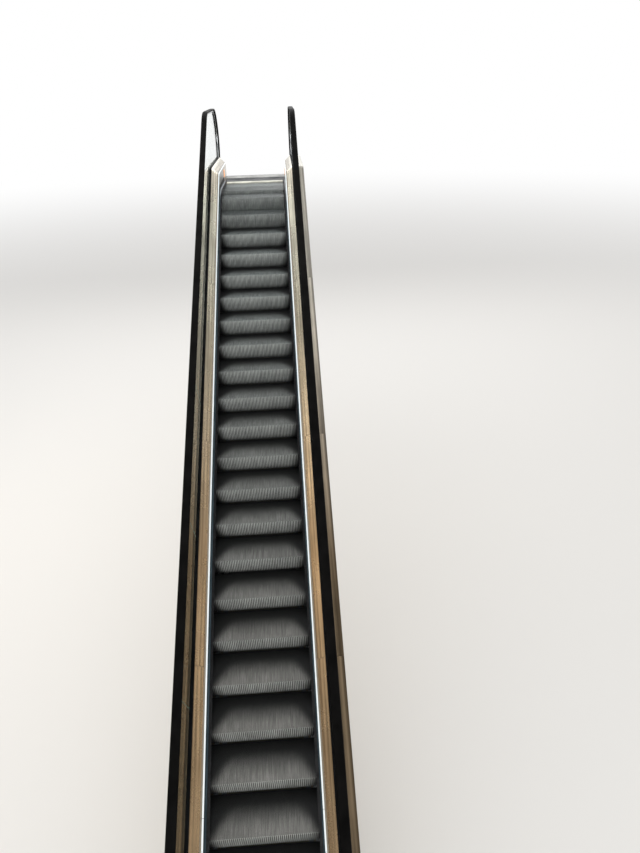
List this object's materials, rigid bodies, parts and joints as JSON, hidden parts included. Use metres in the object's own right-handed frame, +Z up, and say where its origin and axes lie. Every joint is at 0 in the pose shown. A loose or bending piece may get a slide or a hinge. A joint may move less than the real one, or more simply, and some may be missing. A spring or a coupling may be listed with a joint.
{
  "type": "escalator",
  "caption": "Escalator with glass balustrades, black handrails, cleated steps between skirt brushes, combs and landing plates, and closed side and underside cladding.",
  "frame": {"origin": "middle of the flat seat under the upper bearing angle, on the centre line of the steps", "axes": "+X across the steps, +Y up the flight towards the upper landing, +Z up"},
  "size_m": [1.55, 12.8604, 6.311],
  "materials": {
    "step_aluminium": "satin",
    "wheel_plastic": "matte",
    "galvanised": "satin",
    "comb_metal": "satin",
    "plate_steel": "brushed",
    "skirt_black": "satin",
    "brush_rail": "satin",
    "bristle_nylon": "matte",
    "edge_white": "gloss",
    "deck_steel": "brushed",
    "channel_black": "satin",
    "clear_glass": "gloss",
    "guide_steel": "brushed",
    "rubber_black": "satin",
    "amber_lens": "gloss",
    "truss_paint": "matte",
    "cladding_beige": "satin",
    "end_plate_grey": "matte"
  },
  "bodies": {
    "root": {"steps_lower": "step_aluminium", "steps_middle": "step_aluminium", "steps_upper": "step_aluminium", "steps_top": "step_aluminium", "step_wheels": "wheel_plastic", "step_tracks": "galvanised", "comb_lower": "comb_metal", "comb_upper": "comb_metal", "comb_plates": "plate_steel", "floor_plates_lower": "plate_steel", "floor_plates_upper": "plate_steel", "landing_frames": "plate_steel", "skirt_left": "skirt_black", "skirt_right": "skirt_black", "brush_holder_left": "brush_rail", "brush_holder_right": "brush_rail", "bristles_left": "bristle_nylon", "bristles_right": "bristle_nylon", "edge_strip_left": "edge_white", "edge_strip_right": "edge_white", "inner_deck_left": "deck_steel", "inner_deck_right": "deck_steel", "outer_deck_left": "deck_steel", "outer_deck_right": "deck_steel", "glass_channels": "channel_black", "glass_left": "clear_glass", "glass_right": "clear_glass", "handrail_guide_left": "guide_steel", "handrail_guide_right": "guide_steel", "handrail_left": "rubber_black", "handrail_right": "rubber_black", "newel_bases_lower": "deck_steel", "newel_bases_upper": "deck_steel", "handrail_inlets": "channel_black", "signal_lenses": "amber_lens", "balustrade_brackets": "galvanised", "truss_left": "truss_paint", "truss_right": "truss_paint", "cross_beams": "truss_paint", "side_panels_left": "cladding_beige", "side_panels_right": "cladding_beige", "soffit_panels": "cladding_beige", "end_plates": "end_plate_grey", "upper_bearing": "truss_paint", "lower_bearing": "truss_paint"}
  },
  "joints": []
}
